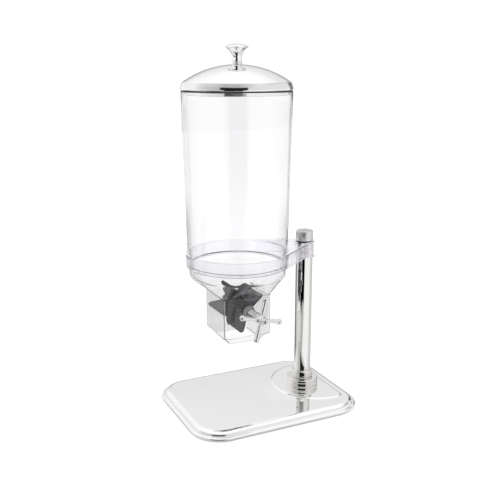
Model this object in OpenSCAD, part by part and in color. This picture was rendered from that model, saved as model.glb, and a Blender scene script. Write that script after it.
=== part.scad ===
// Gravity bulk food bin: a clear hopper with a paddle wheel, held by an arm over a polished tray.
// Millimetres. The origin is on the table under the middle of the tray, +Z up.
// +X points from the hopper to the post, and the handle faces -Y.

/* [Base] */
// Length of the tray, along the arm
base_l = 346; // [320:1:420]
// Width of the tray
base_w = 265; // [240:1:330]
// Radius of the tray's corners
base_corner_r = 59.5; // [45:0.5:80]
// Height of the tray's flat top above the table
base_h = 18.5; // [17:0.5:26]
// Thickness of the pressed sheet
sheet_t = 1.2; // [0.8:0.1:1.6]
// Gap between the table and the rolled edge
edge_lift = 1.5; // [1:0.1:3]
// Radius of the rolled lower edge
bead_r = 4.2; // [3.4:0.1:5]
// Width of the groove above the rolled edge
groove_w = 2.3; // [1.8:0.1:4]
// Width of the rounded shoulder inside the groove
brow_w = 10.8; // [8:0.1:14]
// Rise of the embossed pad under the post
pad_rise = 1.6; // [1:0.1:2.4]
// Radius of the pad's round side
pad_r = 87; // [70:1:95]
// Distance from the post's axis to the pad's straight side
pad_reach = 43; // [36:1:44]
// Radius of the pad's two corners
pad_corner_r = 12; // [8:1:20]
// Diameter of a rubber foot
foot_d = 20; // [14:1:24]
// Diameter of the stiffening plate inside the tray
stiffener_d = 72; // [50:1:76]
// Thickness of the stiffening plate
stiffener_t = 3; // [2:0.5:5]

/* [Post] */
// Distance from the end of the tray to the post's axis
post_inset = 71; // [66:1:84]
// Outer diameter of the post
post_d = 33; // [28:0.5:38]
// Wall of the post
post_wall = 1.5; // [1:0.1:3]
// Diameter of the lower collar
collar_d = 62; // [52:1:70]
// Height of the lower collar
collar_h = 15.5; // [10:0.5:22]
// Depth of the groove between the lower collar's two tiers
collar_groove = 0.5; // [0.3:0.1:1]
// Diameter of the upper collar
neck_collar_d = 41; // [40:0.5:50]
// Height of the upper collar
neck_collar_h = 15.5; // [8:0.5:22]
// Height of the screw cap
cap_h = 19.5; // [16:0.5:30]
// Diameter of the bolt and the stud that hold the post
bolt_d = 8; // [6:1:10]
// Depth of the threaded plugs in the post's ends
plug_h = 26; // [18:1:40]

/* [Arm] */
// Distance from the post's axis to the hopper's axis
arm_reach = 144.7; // [135:0.1:165]
// Height of the ring's top edge above the table
ring_top = 314.5; // [300:0.5:340]
// Height of the ring's band
ring_h = 26.5; // [22:0.5:36]
// Wall of the ring
ring_t = 2.1; // [1.8:0.1:3]
// Radius of the beads along the ring's edges
lip_bead_r = 1.1; // [0.8:0.1:1.6]
// Thickness of the ledge that carries the hopper
ledge_t = 3; // [2:0.1:5]
// Rise of the arm from the ring to the post
arm_rise = 7; // [0:0.5:8]
// Thickness of the arm's two side walls
arm_wall = 2.4; // [2:0.1:3.5]
// Thickness of the arm's web
web_t = 3.6; // [3:0.1:4.5]
// Wall of the sleeve round the post
sleeve_wall = 2.2; // [1.8:0.1:3.5]
// Length of the sleeve
sleeve_h = 32; // [24:0.5:40]

/* [Hopper] */
// Outer diameter of the hopper's mouth
mouth_d = 200.4; // [196:0.2:210]
// Outer diameter just above the ledge
seat_d = 186.6; // [180:0.2:192]
// Height from the ledge to the mouth
hopper_h = 317.3; // [240:0.1:400]
// Wall of the hopper
hopper_t = 2.5; // [2:0.1:3.5]
// Depth of the step that rests on the ledge
seat_step = 2.7; // [2:0.1:3.5]
// Height of the straight part below the ledge
waist_h = 17; // [12:0.5:24]
// Radius of the rounded shoulder above the funnel
shoulder_r = 9; // [6:0.5:12]
// Height of the funnel, from round to square
funnel_h = 32; // [26:0.5:44]
// Width of the square chamber
chamber_w = 95; // [88:0.5:100]
// Radius of the chamber's corners
chamber_corner_r = 7; // [5:0.5:10]
// Height of the chamber's straight walls
chamber_h = 76; // [70:0.5:90]
// Height of the tapered spout
spout_h = 14.4; // [10:0.1:20]
// Width of the spout's mouth, along X
spout_w = 68; // [56:0.5:80]
// Width of the spout's mouth, along Y
spout_d = 72; // [56:0.5:80]

/* [Paddle wheel] */
// Thickness of a vane
vane_t = 2.4; // [1.8:0.1:3]
// Radius of a vane's outer corners
vane_corner_r = 10; // [6:0.5:14]
// Width of the raised border round a vane
vane_border = 3.2; // [2.5:0.1:5]
// Diameter of the wheel's core
core_d = 22; // [20:0.5:28]
// Height of the shaft above the chamber's tapered end
shaft_up = 48.6; // [46:0.2:52]
// Diameter of the shaft's front bearing
shaft_d = 10; // [10:0.1:11]
// Width of the shaft's square
square_w = 7; // [6:0.1:7]
// Diameter of the shaft's rear bearing
tail_d = 6; // [5:0.1:6]

/* [Handle] */
// Distance from the chamber's face to the middle of the cross
handle_reach = 51.5; // [42:0.5:60]
// Distance from the handle's axis to the middle of an end ball
spoke_reach = 38; // [30:0.5:39]
// Diameter of the end balls
ball_d = 10.8; // [9:0.2:12]
// Diameter of a spoke beside the hub
spoke_d = 5.6; // [4.5:0.1:6.5]
// Diameter of the stem beside the chamber
stem_d = 15; // [14:0.5:18]
// Diameter of the hub at the cross
hub_d = 19; // [17:0.5:22]
// Diameter of the boss in front of the cross
boss_d = 13; // [11:0.5:15]
// Length of the boss in front of the cross
boss_l = 14; // [10:0.5:18]
// Turn of the handle and wheel from upright, clockwise seen from the front
rest_turn = 14; // [0:1:40]

/* [Lid] */
// Height of the dome above the lid's rim
dome_h = 45.3; // [36:0.1:60]
// Height of the dome's crease above the lid's rim
crease_up = 14.3; // [11:0.1:18]
// Distance from the rim in to the crease
crease_in = 7.4; // [5:0.1:10]
// Thickness of the lid's sheet
lid_t = 1; // [0.8:0.1:1.4]
// Depth of the skirt inside the hopper's mouth
skirt_h = 11.5; // [8:0.5:20]
// Thickness of the seal
seal_t = 1.4; // [1:0.1:3]
// Height of the lid's knob
knob_h = 35.8; // [30:0.2:46]
// Diameter of the knob's head
knob_d = 41.2; // [32:0.2:46]
// Diameter of the knob's neck
knob_neck_d = 16.6; // [13:0.2:18]
// Diameter of the knob's foot
knob_foot_d = 32; // [26:0.5:40]

/* [Clearances] */
// Radial gap of the shaft in its bushes
running_gap = 0.05; // [0.02:0.01:0.1]
// Radial gap between the hopper and the ring
hopper_gap = 0.35; // [0.3:0.05:0.6]
// Gap between a vane and the chamber's walls
vane_gap = 0.4; // [0.35:0.05:1]
// Gap between turning faces that lie side by side
side_gap = 0.5; // [0.3:0.05:1]
// Radial gap between the lid's skirt and the hopper's mouth
skirt_gap = 1.1; // [0.5:0.1:2]
// Radial gap of a bolt or screw in its hole
bolt_gap = 0.2; // [0.1:0.05:0.5]

/* [Hidden] */
$fn = 96;
overlap = 1;            // how far a cutting solid runs past the face it cuts
vane_count = 5;

// Heights of the stand
post_x = base_l / 2 - post_inset;
plate_under = base_h - sheet_t;
pad_top = base_h + pad_rise;
pad_under = plate_under + pad_rise;
bead_top = edge_lift + 2 * bead_r;
collar_top = pad_top + collar_h;
arm_top = ring_top + arm_rise;
post_top = arm_top - web_t;
ring_bottom = ring_top - ring_h;
sleeve_bottom = arm_top - sleeve_h;

// Plan of the tray
edge_to_brow = bead_r + groove_w;
edge_to_flat = edge_to_brow + brow_w;
flat_overlap = 4;       // how far the rim's own flat runs in under the tray's top
pad_side = post_x + pad_reach;
pad_centre_in = 3;      // centre of the pad's round side, in from its corners' centres
pad_centre = pad_side - pad_corner_r - pad_centre_in;
foot_in_x = 28;
foot_in_y = 14;
foot_x = base_l / 2 - edge_to_flat - foot_in_x;
foot_y = base_w / 2 - edge_to_flat - foot_in_y;
post_r = post_d / 2;
post_bore_r = post_r - post_wall;
bolt_r = bolt_d / 2;
bolt_hole_r = bolt_r + bolt_gap;
washer_t = 1.6;
bolt_head_h = 0.65 * bolt_d;
thread_end = 4;         // plug left above the bolt's end
cap_crown = 7;          // solid end of the cap over its stud

// Heights of the hopper
axis_x = post_x - arm_reach;
seat_z = ring_bottom + ledge_t;
mouth_z = seat_z + hopper_h;
waist_bottom = seat_z - waist_h;
shoulder_turn = 40;     // degrees by which the shoulder turns in before the funnel
funnel_top = waist_bottom - shoulder_r * sin(shoulder_turn);
chamber_top = funnel_top - funnel_h;
chamber_bottom = chamber_top - chamber_h;
spout_z = chamber_bottom - spout_h;
spout_lip = 2;          // straight lip at the spout's mouth
mouth_r = mouth_d / 2;
seat_r = seat_d / 2;
waist_r = seat_r - seat_step;
funnel_r = waist_r - shoulder_r * (1 - cos(shoulder_turn));
hopper_flare = (mouth_r - seat_r) / hopper_h;
corner_steps = 12;      // points in each corner of the funnel's sections

// Ring and arm
ring_bore_low = seat_r + hopper_gap;
ring_bore_high = ring_bore_low + hopper_flare * (ring_top - seat_z);
ring_out_low = ring_bore_low + ring_t;
ring_out_high = ring_bore_high + ring_t;
ledge_bore_r = waist_r + hopper_gap;
sleeve_bore_r = post_r + running_gap;
sleeve_r = sleeve_bore_r + sleeve_wall;
sleeve_flange = 2;
bead_out = 0.8;          // how far a bead stands out from the arm's side wall
side_overlap = 0.6;      // how far the arm's pieces run into each other
arm_face = ring_out_low - side_overlap;
arm_turn = asin((arm_face - sleeve_r) / arm_reach);
arm_len = arm_reach * cos(arm_turn);
arm_start_x = axis_x + arm_face * sin(arm_turn);
arm_end_x = post_x + sleeve_r * sin(arm_turn);
web_drop = 0.8;         // web below the side walls' top edges

// Wheel, shaft and handle, measured forwards along the shaft from the chamber's middle
shaft_z = chamber_bottom + shaft_up;
face = chamber_w / 2;
wall_in = face - hopper_t;
wheel_r = wall_in - vane_gap;
bush_flange_t = 2.5;
bush_inner = 1.5;       // bush standing into the chamber
bush_wall = 3;
bush_r = shaft_d / 2 + running_gap + bush_wall;
bush_flange_r = bush_r + 4;
bush_end = wall_in - bush_inner;
vane_half = bush_end - side_gap;
core_half = vane_half - 2;
core_r = core_d / 2;
slot_floor_r = core_r - 4;
bush_front = face + bush_flange_t;
thrust_t = 0.8;
stem_start = bush_front + thrust_t + side_gap;
cross_at = face + handle_reach;
boss_front = cross_at + boss_l;
socket_end = stem_start + 16;
screw_r = 2;
screw_head_r = 3.4;
recess_depth = 5;
tail_end = -bush_front - 3.4;
clip_t = 0.8;
clip_at = -bush_front - side_gap - clip_t;
clip_groove = 0.8;

// Lid
rim_z = mouth_z + seal_t;
rim_r = mouth_r + 0.2;
roll_r = 3;             // radius of the rolled rim
roll_turn = 25;         // angle at which the flank leaves the roll
roll_centre = [rim_r - roll_r, rim_z + roll_r];
flank_low = roll_centre + roll_r * [cos(roll_turn), sin(roll_turn)];
crease = [rim_r - crease_in, rim_z + crease_up];
flank_chord = norm(crease - flank_low);
flank_lean = atan2(flank_low[0] - crease[0], crease[1] - flank_low[1]);
flank_half_turn = flank_lean - roll_turn;
flank_r = flank_chord / (2 * sin(flank_half_turn));
flank_centre = flank_low - flank_r * [cos(roll_turn), sin(roll_turn)];
dome_sag = dome_h - crease_up;
dome_r = (pow(crease[0], 2) + pow(dome_sag, 2)) / (2 * dome_sag);
dome_top = rim_z + dome_h;
dome_centre_z = dome_top - dome_r;
dome_edge_turn = acos(crease[0] / dome_r);
skirt_r = mouth_r - hopper_t - skirt_gap;
knob_screw_r = 2.5;
knob_hole_depth = 12;
knob_foot_r = knob_foot_d / 2;
knob_foot_z = dome_centre_z + sqrt(pow(dome_r, 2) - pow(knob_foot_r, 2));
knob_top = knob_foot_z + knob_h;

// Points of an arc from angle a to angle b
function arc(centre, r, a, b, steps = 12) =
    [for (i = [0 : steps]) centre + r * [cos(a + (b - a) * i / steps), sin(a + (b - a) * i / steps)]];

// Points of an ellipse's arc from angle a to angle b
function oval(centre, rx, ry, a, b, steps = 10) =
    [for (i = [0 : steps]) centre + [rx * cos(a + (b - a) * i / steps), ry * sin(a + (b - a) * i / steps)]];

function reversed(points) = [for (i = [len(points) - 1 : -1 : 0]) points[i]];

// A loft's round section: the same number of points in each quadrant as a square one has in its corner
function round_section(r, z) =
    [for (q = [0 : 3], i = [0 : corner_steps - 1])
        let (a = q * 90 + (i + 0.5) * 90 / corner_steps) [r * cos(a), r * sin(a), z]];

// A loft's rectangular section with rounded corners
function square_section(half_x, half_y, r, z) =
    [for (q = [0 : 3], i = [0 : corner_steps - 1])
        let (a = q * 90 + i * 90 / (corner_steps - 1),
            sx = (q == 0 || q == 3) ? 1 : -1,
            sy = (q < 2) ? 1 : -1)
        [sx * (half_x - r) + r * cos(a), sy * (half_y - r) + r * sin(a), z]];

// Solid through sections listed from the top down
module loft(sections) {
    count = len(sections[0]);
    last = len(sections) - 1;
    points = [for (section = sections) for (point = section) point];
    sides = [for (s = [0 : last - 1], i = [0 : count - 1])
        let (a = s * count + i, b = s * count + (i + 1) % count, c = b + count, d = a + count)
        each [[a, b, c], [a, c, d]]];
    top = [for (i = [count - 1 : -1 : 0]) i];
    bottom = [for (i = [0 : count - 1]) last * count + i];
    polyhedron(points, concat(sides, [top], [bottom]));
}

// Places a child on the hopper's axis
module on_axis() {
    translate([axis_x, 0, 0])
        children();
}

// Places a child along the shaft: its +Z points forwards, its +X stays +X and its +Y points up
module along_shaft() {
    translate([axis_x, 0, shaft_z])
        rotate([90, 0, 0])
            children();
}

// Ring or tube with an outer radius, a bore and a start and end height
module tube(r, bore, from, to) {
    translate([0, 0, from])
        difference() {
            cylinder(r = r, h = to - from);
            translate([0, 0, -overlap])
                cylinder(r = bore, h = to - from + 2 * overlap);
        }
}

// Plain round pin between two heights
module pin(r, from, to) {
    translate([0, 0, from])
        cylinder(r = r, h = to - from);
}

// Section of the tray's rim, measured out from a corner's centre
module rim_section() {
    bead = [base_corner_r - bead_r, edge_lift + bead_r];
    brow = [base_corner_r - edge_to_flat, bead_top];
    brow_h = base_h - bead_top;
    flat_end = brow[0] - flat_overlap;
    polygon(concat(
        arc(bead, bead_r, -90, 90),
        oval(brow, brow_w, brow_h, 0, 90),
        [[flat_end, base_h], [flat_end, plate_under]],
        oval(brow, brow_w - sheet_t, brow_h - sheet_t, 90, 0),
        [[brow[0] + brow_w - sheet_t, bead_top - sheet_t]],
        arc(bead, bead_r - sheet_t, 90, -90)));
}

// The rim, swept round the tray's outline
module tray_rim() {
    x = base_l / 2 - base_corner_r;
    y = base_w / 2 - base_corner_r;
    for (side = [0, 1]) {
        mirror([0, side, 0])
            translate([-x, y, 0])
                rotate([90, 0, 90])
                    linear_extrude(2 * x)
                        rim_section();
        mirror([side, 0, 0])
            translate([x, y, 0])
                rotate([90, 0, 0])
                    linear_extrude(2 * y)
                        rim_section();
    }
    for (corner = [0 : 3])
        translate([(corner == 0 || corner == 3) ? x : -x, corner < 2 ? y : -y, 0])
            rotate(corner * 90)
                rotate_extrude(angle = 90)
                    rim_section();
}

// Rectangle with true round corners, inset from the tray's outline
module tray_outline(inset) {
    l = base_l - 2 * inset;
    w = base_w - 2 * inset;
    r = base_corner_r - inset;
    square([l - 2 * r, w], center = true);
    square([l, w - 2 * r], center = true);
    for (x = [-1, 1], y = [-1, 1])
        translate([x * (l / 2 - r), y * (w / 2 - r)])
            circle(r);
}

// The pad's outline: a round side closed by a straight one, grown outwards by a margin
module pad_outline(grow) {
    x = pad_side - pad_corner_r;
    y = sqrt(pow(pad_r - pad_corner_r, 2) - pow(x - pad_centre, 2));
    turn = atan2(y, x - pad_centre);
    polygon(concat(
        arc([x, y], pad_corner_r + grow, 0, turn, 8),
        arc([pad_centre, 0], pad_r + grow, turn, 360 - turn, 60),
        arc([x, -y], pad_corner_r + grow, -turn, 0, 8)));
}

// Polished tray with its embossed pad, hollow underneath
module base_plate() {
    color("gainsboro")
        difference() {
            union() {
                tray_rim();
                translate([0, 0, plate_under])
                    linear_extrude(sheet_t)
                        tray_outline(edge_to_flat + flat_overlap / 2);
                translate([0, 0, plate_under])
                    linear_extrude(sheet_t + pad_rise / 2)
                        pad_outline(sheet_t);
                translate([0, 0, plate_under])
                    linear_extrude(sheet_t + pad_rise)
                        pad_outline(0);
            }
            translate([0, 0, plate_under - overlap])
                linear_extrude(pad_rise + overlap)
                    pad_outline(-sheet_t);
            translate([post_x, 0, plate_under])
                pin(bolt_hole_r, -overlap, sheet_t + pad_rise + overlap);
        }
}

// Four rubber feet under the tray's corners
module feet() {
    foot_round = 1.5;
    foot_r = foot_d / 2;
    color("dimgray")
        for (x = [-1, 1], y = [-1, 1])
            translate([x * foot_x, y * foot_y, 0])
                rotate_extrude()
                    polygon(concat(
                        [[0, 0]],
                        arc([foot_r - foot_round, foot_round], foot_round, -90, 0, 6),
                        [[foot_r - foot_round, plate_under], [0, plate_under]]));
}

// Round steel plate that stiffens the tray under the post
module stiffening_plate() {
    color("darkgray")
        translate([post_x, 0, 0])
            tube(stiffener_d / 2, bolt_hole_r, pad_under - stiffener_t, pad_under);
}

// Hexagon bolt, put in from below
module post_bolt() {
    head_top = pad_under - stiffener_t - washer_t;
    color("silver")
        translate([post_x, 0, 0]) {
            pin(bolt_r, head_top - 1, pad_top + plug_h - thread_end);
            translate([0, 0, head_top - bolt_head_h])
                cylinder(r = 0.95 * bolt_d, h = bolt_head_h, $fn = 6);
        }
}

// Washer under the bolt's head
module post_washer() {
    color("silver")
        translate([post_x, 0, 0])
            tube(1.5 * bolt_d, bolt_hole_r, pad_under - stiffener_t - washer_t, pad_under - stiffener_t);
}

// Threaded plug in the post's lower end
module foot_plug() {
    color("darkgray")
        translate([post_x, 0, 0])
            tube(post_bore_r, bolt_r, pad_top, pad_top + plug_h);
}

// Ring with rounded edges round the post
module collar(r, from, to, edge_r) {
    translate([post_x, 0, 0])
        rotate_extrude()
            polygon(concat(
                [[post_r, from]],
                arc([r - edge_r, from + edge_r], edge_r, -90, 0, 5),
                arc([r - edge_r, to - edge_r], edge_r, 0, 90, 5),
                [[post_r, to]]));
}

// Wide collar that stands on the pad, with a fine groove between its two tiers
module flange_collar() {
    groove_z = pad_top + 0.6 * collar_h;
    collar_r = collar_d / 2;
    color("gainsboro")
        difference() {
            collar(collar_r, pad_top, collar_top, 1.2);
            translate([post_x, 0, 0])
                rotate_extrude()
                    polygon([
                        [collar_r - collar_groove, groove_z],
                        [collar_r + overlap, groove_z - collar_groove - overlap],
                        [collar_r + overlap, groove_z + collar_groove + overlap]]);
        }
}

// Narrow collar on top of the wide one
module neck_collar() {
    color("gainsboro")
        collar(neck_collar_d / 2, collar_top, collar_top + neck_collar_h, 0.8);
}

// Polished post
module post_tube() {
    color("gainsboro")
        translate([post_x, 0, 0])
            tube(post_r, post_bore_r, pad_top, post_top);
}

// Threaded plug in the post's upper end
module top_plug() {
    color("darkgray")
        translate([post_x, 0, 0])
            tube(post_bore_r, bolt_r, post_top - plug_h, post_top);
}

// Band of the ring, with its beaded edges and the ledge inside its lower edge
module ring_band() {
    low_bead = [ring_out_low - lip_bead_r / 2, ring_bottom + lip_bead_r];
    high_bead = [ring_out_high, ring_top - lip_bead_r];
    on_axis()
        rotate_extrude()
            polygon(concat(
                [[ledge_bore_r, ring_bottom]],
                arc(low_bead, lip_bead_r, -90, 60, 6),
                arc(high_bead, lip_bead_r, -60, 90, 6),
                [[ring_bore_high, ring_top], [ring_bore_low, seat_z], [ledge_bore_r, seat_z]]));
}

// Side wall of the arm: it climbs from the ring to the post, and a bead stands out from it by a little
module arm_side(low, high, out) {
    thick = arm_wall + out;
    on_axis()
        rotate(arm_turn)
            translate([0, thick - arm_face - out, 0])
                rotate([90, 0, 0])
                    linear_extrude(thick)
                        polygon([
                            [0, low],
                            [arm_len, low + arm_rise],
                            [arm_len, high + arm_rise],
                            [0, high]]);
}

// The arm's plan, just inside the outer faces of its side walls
module arm_plan() {
    start_y = (arm_face - side_overlap) * cos(arm_turn);
    end_y = (sleeve_r - side_overlap) * cos(arm_turn);
    polygon([[arm_start_x, -start_y], [arm_end_x, -end_y], [arm_end_x, end_y], [arm_start_x, start_y]]);
}

// Web between the side walls, under the arm's sloping top
module arm_web() {
    start_top = ring_top - web_drop;
    end_top = start_top + arm_rise;
    intersection() {
        translate([0, 0, ring_bottom])
            linear_extrude(arm_top - ring_bottom)
                arm_plan();
        translate([0, base_w / 2, 0])
            rotate([90, 0, 0])
                linear_extrude(base_w)
                    polygon([
                        [arm_start_x, start_top - web_t],
                        [arm_end_x, end_top - web_t],
                        [arm_end_x, end_top],
                        [arm_start_x, start_top]]);
    }
}

// Clear ring, arm and post sleeve, moulded in one piece
module bracket() {
    bead_w = 2 * lip_bead_r;
    color("lavender", 0.5)
        difference() {
            union() {
                ring_band();
                difference() {
                    union() {
                        for (side = [0, 1])
                            mirror([0, side, 0]) {
                                arm_side(ring_bottom, ring_top, 0);
                                arm_side(ring_bottom, ring_bottom + bead_w, bead_out);
                                arm_side(ring_top - bead_w, ring_top, bead_out);
                            }
                        arm_web();
                    }
                    on_axis()
                        pin(ring_bore_high + ring_t / 2, ring_bottom - overlap, arm_top + overlap);
                }
                translate([post_x, 0, 0]) {
                    pin(sleeve_r, sleeve_bottom, arm_top);
                    pin(sleeve_r + sleeve_flange, sleeve_bottom, sleeve_bottom + sleeve_flange);
                }
            }
            translate([post_x, 0, 0]) {
                pin(sleeve_bore_r, sleeve_bottom - overlap, post_top);
                pin(bolt_hole_r, post_top - overlap, arm_top + overlap);
            }
        }
}

// Satin screw cap that clamps the arm to the post
module post_cap() {
    edge_r = 0.8;
    stud_depth = cap_h - cap_crown;
    color("lightgray")
        translate([post_x, 0, arm_top])
            rotate_extrude()
                polygon(concat(
                    [[bolt_r, 0], [post_r, 0]],
                    arc([post_r - edge_r, cap_h - edge_r], edge_r, 0, 90, 5),
                    [[0, cap_h], [0, stud_depth], [bolt_r, stud_depth]]));
}

// Stud that joins the cap to the post's upper plug
module cap_stud() {
    color("silver")
        translate([post_x, 0, 0])
            pin(bolt_r, post_top - plug_h + thread_end, arm_top + cap_h - cap_crown);
}

// Round part of the hopper: the flared tube, the step on the ledge and the shoulder, inset by a wall
module hopper_round(wall, mouth) {
    step_z = seat_z + wall;
    on_axis()
        rotate_extrude()
            polygon(concat(
                [[0, funnel_top]],
                reversed(arc([waist_r - shoulder_r, waist_bottom], shoulder_r - wall, 0, -shoulder_turn, 6)),
                [[waist_r - wall, step_z],
                    [seat_r - wall + hopper_flare * wall, step_z],
                    [mouth_r - wall + hopper_flare * (mouth - mouth_z), mouth],
                    [0, mouth]]));
}

// Lower part of the hopper: round to square funnel, chamber and spout, inset by a wall
module hopper_square(wall, end) {
    half = face - wall;
    corner = chamber_corner_r - wall;
    on_axis()
        loft([
            round_section(funnel_r - wall - 0.2, funnel_top + 0.5),
            square_section(half, half, corner, chamber_top),
            square_section(half, half, corner, chamber_bottom),
            square_section(spout_w / 2 - wall, spout_d / 2 - wall, corner, spout_z + spout_lip),
            square_section(spout_w / 2 - wall, spout_d / 2 - wall, corner, end)]);
}

// Clear hopper with its funnel, wheel chamber and spout, moulded in one piece
module hopper() {
    color("white", 0.35)
        difference() {
            union() {
                hopper_round(0, mouth_z);
                hopper_square(0, spout_z);
            }
            hopper_round(hopper_t, mouth_z + overlap);
            on_axis()
                pin(funnel_r - hopper_t, funnel_top, waist_bottom);
            hopper_square(hopper_t, spout_z - overlap);
            along_shaft()
                pin(bush_r, -face - overlap, face + overlap);
        }
}

// Flanged bush in a chamber wall, bored for one end of the shaft
module bush(bore) {
    tube(bush_r, bore, bush_end, bush_front);
    tube(bush_flange_r, bore, face, bush_front);
}

module front_bush() {
    color("whitesmoke")
        along_shaft()
            bush(shaft_d / 2 + running_gap);
}

module rear_bush() {
    color("whitesmoke")
        along_shaft()
            mirror([0, 0, 1])
                bush(tail_d / 2 + running_gap);
}

// Steel shaft: round front bearing, square through the wheel, round tail and a square for the handle
module drive_shaft() {
    bearing_start = bush_end - 1;
    tail_start = -bush_end + 1;
    color("silver")
        along_shaft()
            rotate(-rest_turn)
                difference() {
                    union() {
                        translate([-square_w / 2, -square_w / 2, tail_start])
                            cube([square_w, square_w, socket_end - tail_start]);
                        pin(shaft_d / 2, bearing_start, stem_start);
                        difference() {
                            pin(tail_d / 2, tail_end, tail_start + 1);
                            tube(tail_d, tail_d / 2 - clip_groove, clip_at, clip_at + clip_t);
                        }
                    }
                    pin(screw_r, socket_end - 10, socket_end + overlap);
                }
}

// Core of the wheel, slotted for its vanes
module wheel_core() {
    color("black")
        along_shaft()
            rotate(-rest_turn)
                difference() {
                    pin(core_r, -core_half, core_half);
                    translate([-square_w / 2, -square_w / 2, -core_half - overlap])
                        cube([square_w, square_w, 2 * (core_half + overlap)]);
                    for (i = [0 : vane_count - 1])
                        rotate(-90 + i * 360 / vane_count)
                            translate([slot_floor_r, -vane_t / 2, -core_half - overlap])
                                cube([core_r, vane_t, 2 * (core_half + overlap)]);
                }
}

// Outline of a vane with its two outer corners rounded, drawn in from its edge by a margin
module vane_outline(margin) {
    r = vane_corner_r - margin;
    reach = wheel_r - margin;
    half = vane_half - margin;
    translate([slot_floor_r, -half])
        square([reach - r - slot_floor_r, 2 * half]);
    translate([reach - r - overlap, -half + r])
        square([r + overlap, 2 * (half - r)]);
    for (side = [-1, 1])
        translate([reach - r, side * (half - r)])
            circle(r);
}

// One rubber vane with a raised border and a short middle rib
module vane(index) {
    border_t = vane_t + 1;
    rib_w = 2.6;
    rib_start = core_r + 4;
    rib_end = 0.7 * wheel_r;
    color([0.12, 0.12, 0.13])
        along_shaft()
            rotate(-rest_turn - 90 + index * 360 / vane_count)
                rotate([90, 0, 0]) {
                    translate([0, 0, -vane_t / 2])
                        linear_extrude(vane_t)
                            difference() {
                                vane_outline(0);
                                for (side = [0, 1])
                                    mirror([0, side])
                                        translate([0, core_half])
                                            square([core_r, vane_half]);
                            }
                    translate([0, 0, -border_t / 2])
                        linear_extrude(border_t)
                            difference() {
                                vane_outline(0);
                                vane_outline(vane_border);
                                translate([0, -vane_half - overlap])
                                    square([core_r + 1, 2 * (vane_half + overlap)]);
                            }
                    translate([rib_start, -rib_w / 2, -border_t / 2])
                        cube([rib_end - rib_start, rib_w, border_t]);
                }
}

// Outline of a spoke, along its own axis: a slim taper that swells into a ball
module spoke() {
    ball_r = ball_d / 2;
    waist_at = 0.3 * spoke_reach;
    join_turn = 125;
    join = [ball_r * sin(join_turn), spoke_reach + ball_r * cos(join_turn)];
    rotate_extrude()
        polygon(concat(
            [[0, 0], [spoke_d / 2, 0], [spoke_d / 2, waist_at], join],
            [for (a = [join_turn - 12.5 : -12.5 : 12.5]) [ball_r * sin(a), spoke_reach + ball_r * cos(a)]],
            [[0, spoke_reach + ball_r]]));
}

// Chromed cross handle: stem, hub, boss and four ball-ended spokes in one casting
module cross_handle() {
    edge_r = 1;
    hub_r = hub_d / 2;
    boss_r = boss_d / 2;
    neck = 3;
    color("gainsboro")
        along_shaft()
            rotate(-rest_turn)
                difference() {
                    union() {
                        rotate_extrude()
                            polygon(concat(
                                [[0, stem_start], [stem_d / 2, stem_start]],
                                [[hub_r - edge_r, cross_at - spoke_d / 2 - edge_r]],
                                arc([hub_r - 2 * edge_r, cross_at + spoke_d / 2], 2 * edge_r, 0, 60, 5),
                                [[boss_r - edge_r, cross_at + spoke_d / 2 + neck]],
                                arc([boss_r - edge_r, boss_front - edge_r], edge_r, 0, 90, 5),
                                [[0, boss_front]]));
                        for (turn = [0 : 90 : 270])
                            rotate(turn)
                                translate([0, 0, cross_at])
                                    rotate([-90, 0, 0])
                                        spoke();
                    }
                    translate([-square_w / 2, -square_w / 2, stem_start - overlap])
                        cube([square_w, square_w, socket_end - stem_start + overlap]);
                    pin(screw_r + bolt_gap, socket_end - overlap, boss_front);
                    pin(screw_head_r + bolt_gap, boss_front - recess_depth, boss_front + overlap);
                }
}

// Screw that holds the handle on the shaft, down in the boss
module handle_screw() {
    head_h = 2.6;
    slot_w = 1;
    head_floor = boss_front - recess_depth;
    color("dimgray")
        along_shaft()
            rotate(-rest_turn)
                difference() {
                    union() {
                        pin(screw_r, socket_end - 8, head_floor + 1);
                        pin(screw_head_r, head_floor, head_floor + head_h);
                    }
                    translate([-screw_head_r - overlap, -slot_w / 2, head_floor + head_h - 1])
                        cube([2 * (screw_head_r + overlap), slot_w, 1 + overlap]);
                }
}

// Thin washer that turns with the stem and faces the front bush
module thrust_washer() {
    color("ivory")
        along_shaft()
            tube(stem_d / 2, shaft_d / 2, bush_front + side_gap, stem_start);
}

// Open clip in the groove of the shaft's tail
module shaft_clip() {
    clip_r = tail_d / 2 + 2;
    gap_w = tail_d / 2;
    color("dimgray")
        along_shaft()
            rotate(-rest_turn)
                difference() {
                    tube(clip_r, tail_d / 2 - clip_groove, clip_at, clip_at + clip_t);
                    translate([-gap_w / 2, 0, clip_at - overlap])
                        cube([gap_w, clip_r + overlap, clip_t + 2 * overlap]);
                }
}

// Polished dome with a crease above its rolled rim
module lid_dome() {
    color("gainsboro")
        on_axis()
            difference() {
                rotate_extrude()
                    polygon(concat(
                        arc(roll_centre, roll_r, -90, roll_turn, 8),
                        arc(flank_centre, flank_r, roll_turn + 1, roll_turn + 2 * flank_half_turn, 8),
                        arc([0, dome_centre_z], dome_r, dome_edge_turn + 2, 90, 24),
                        arc([0, dome_centre_z], dome_r - lid_t, 90, dome_edge_turn + 2, 24),
                        arc(flank_centre, flank_r - lid_t, roll_turn + 2 * flank_half_turn, roll_turn + 1, 8),
                        arc(roll_centre, roll_r - lid_t, roll_turn, -90, 8)));
                pin(knob_screw_r + bolt_gap, dome_top - 4 * lid_t, dome_top + overlap);
            }
}

// Inner skirt with the flange that joins it to the dome's rolled rim
module lid_skirt() {
    color("gainsboro")
        on_axis() {
            tube(skirt_r, skirt_r - lid_t, rim_z - skirt_h, rim_z + lid_t);
            tube(roll_centre[0], skirt_r - lid_t, rim_z, rim_z + lid_t);
        }
}

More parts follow.
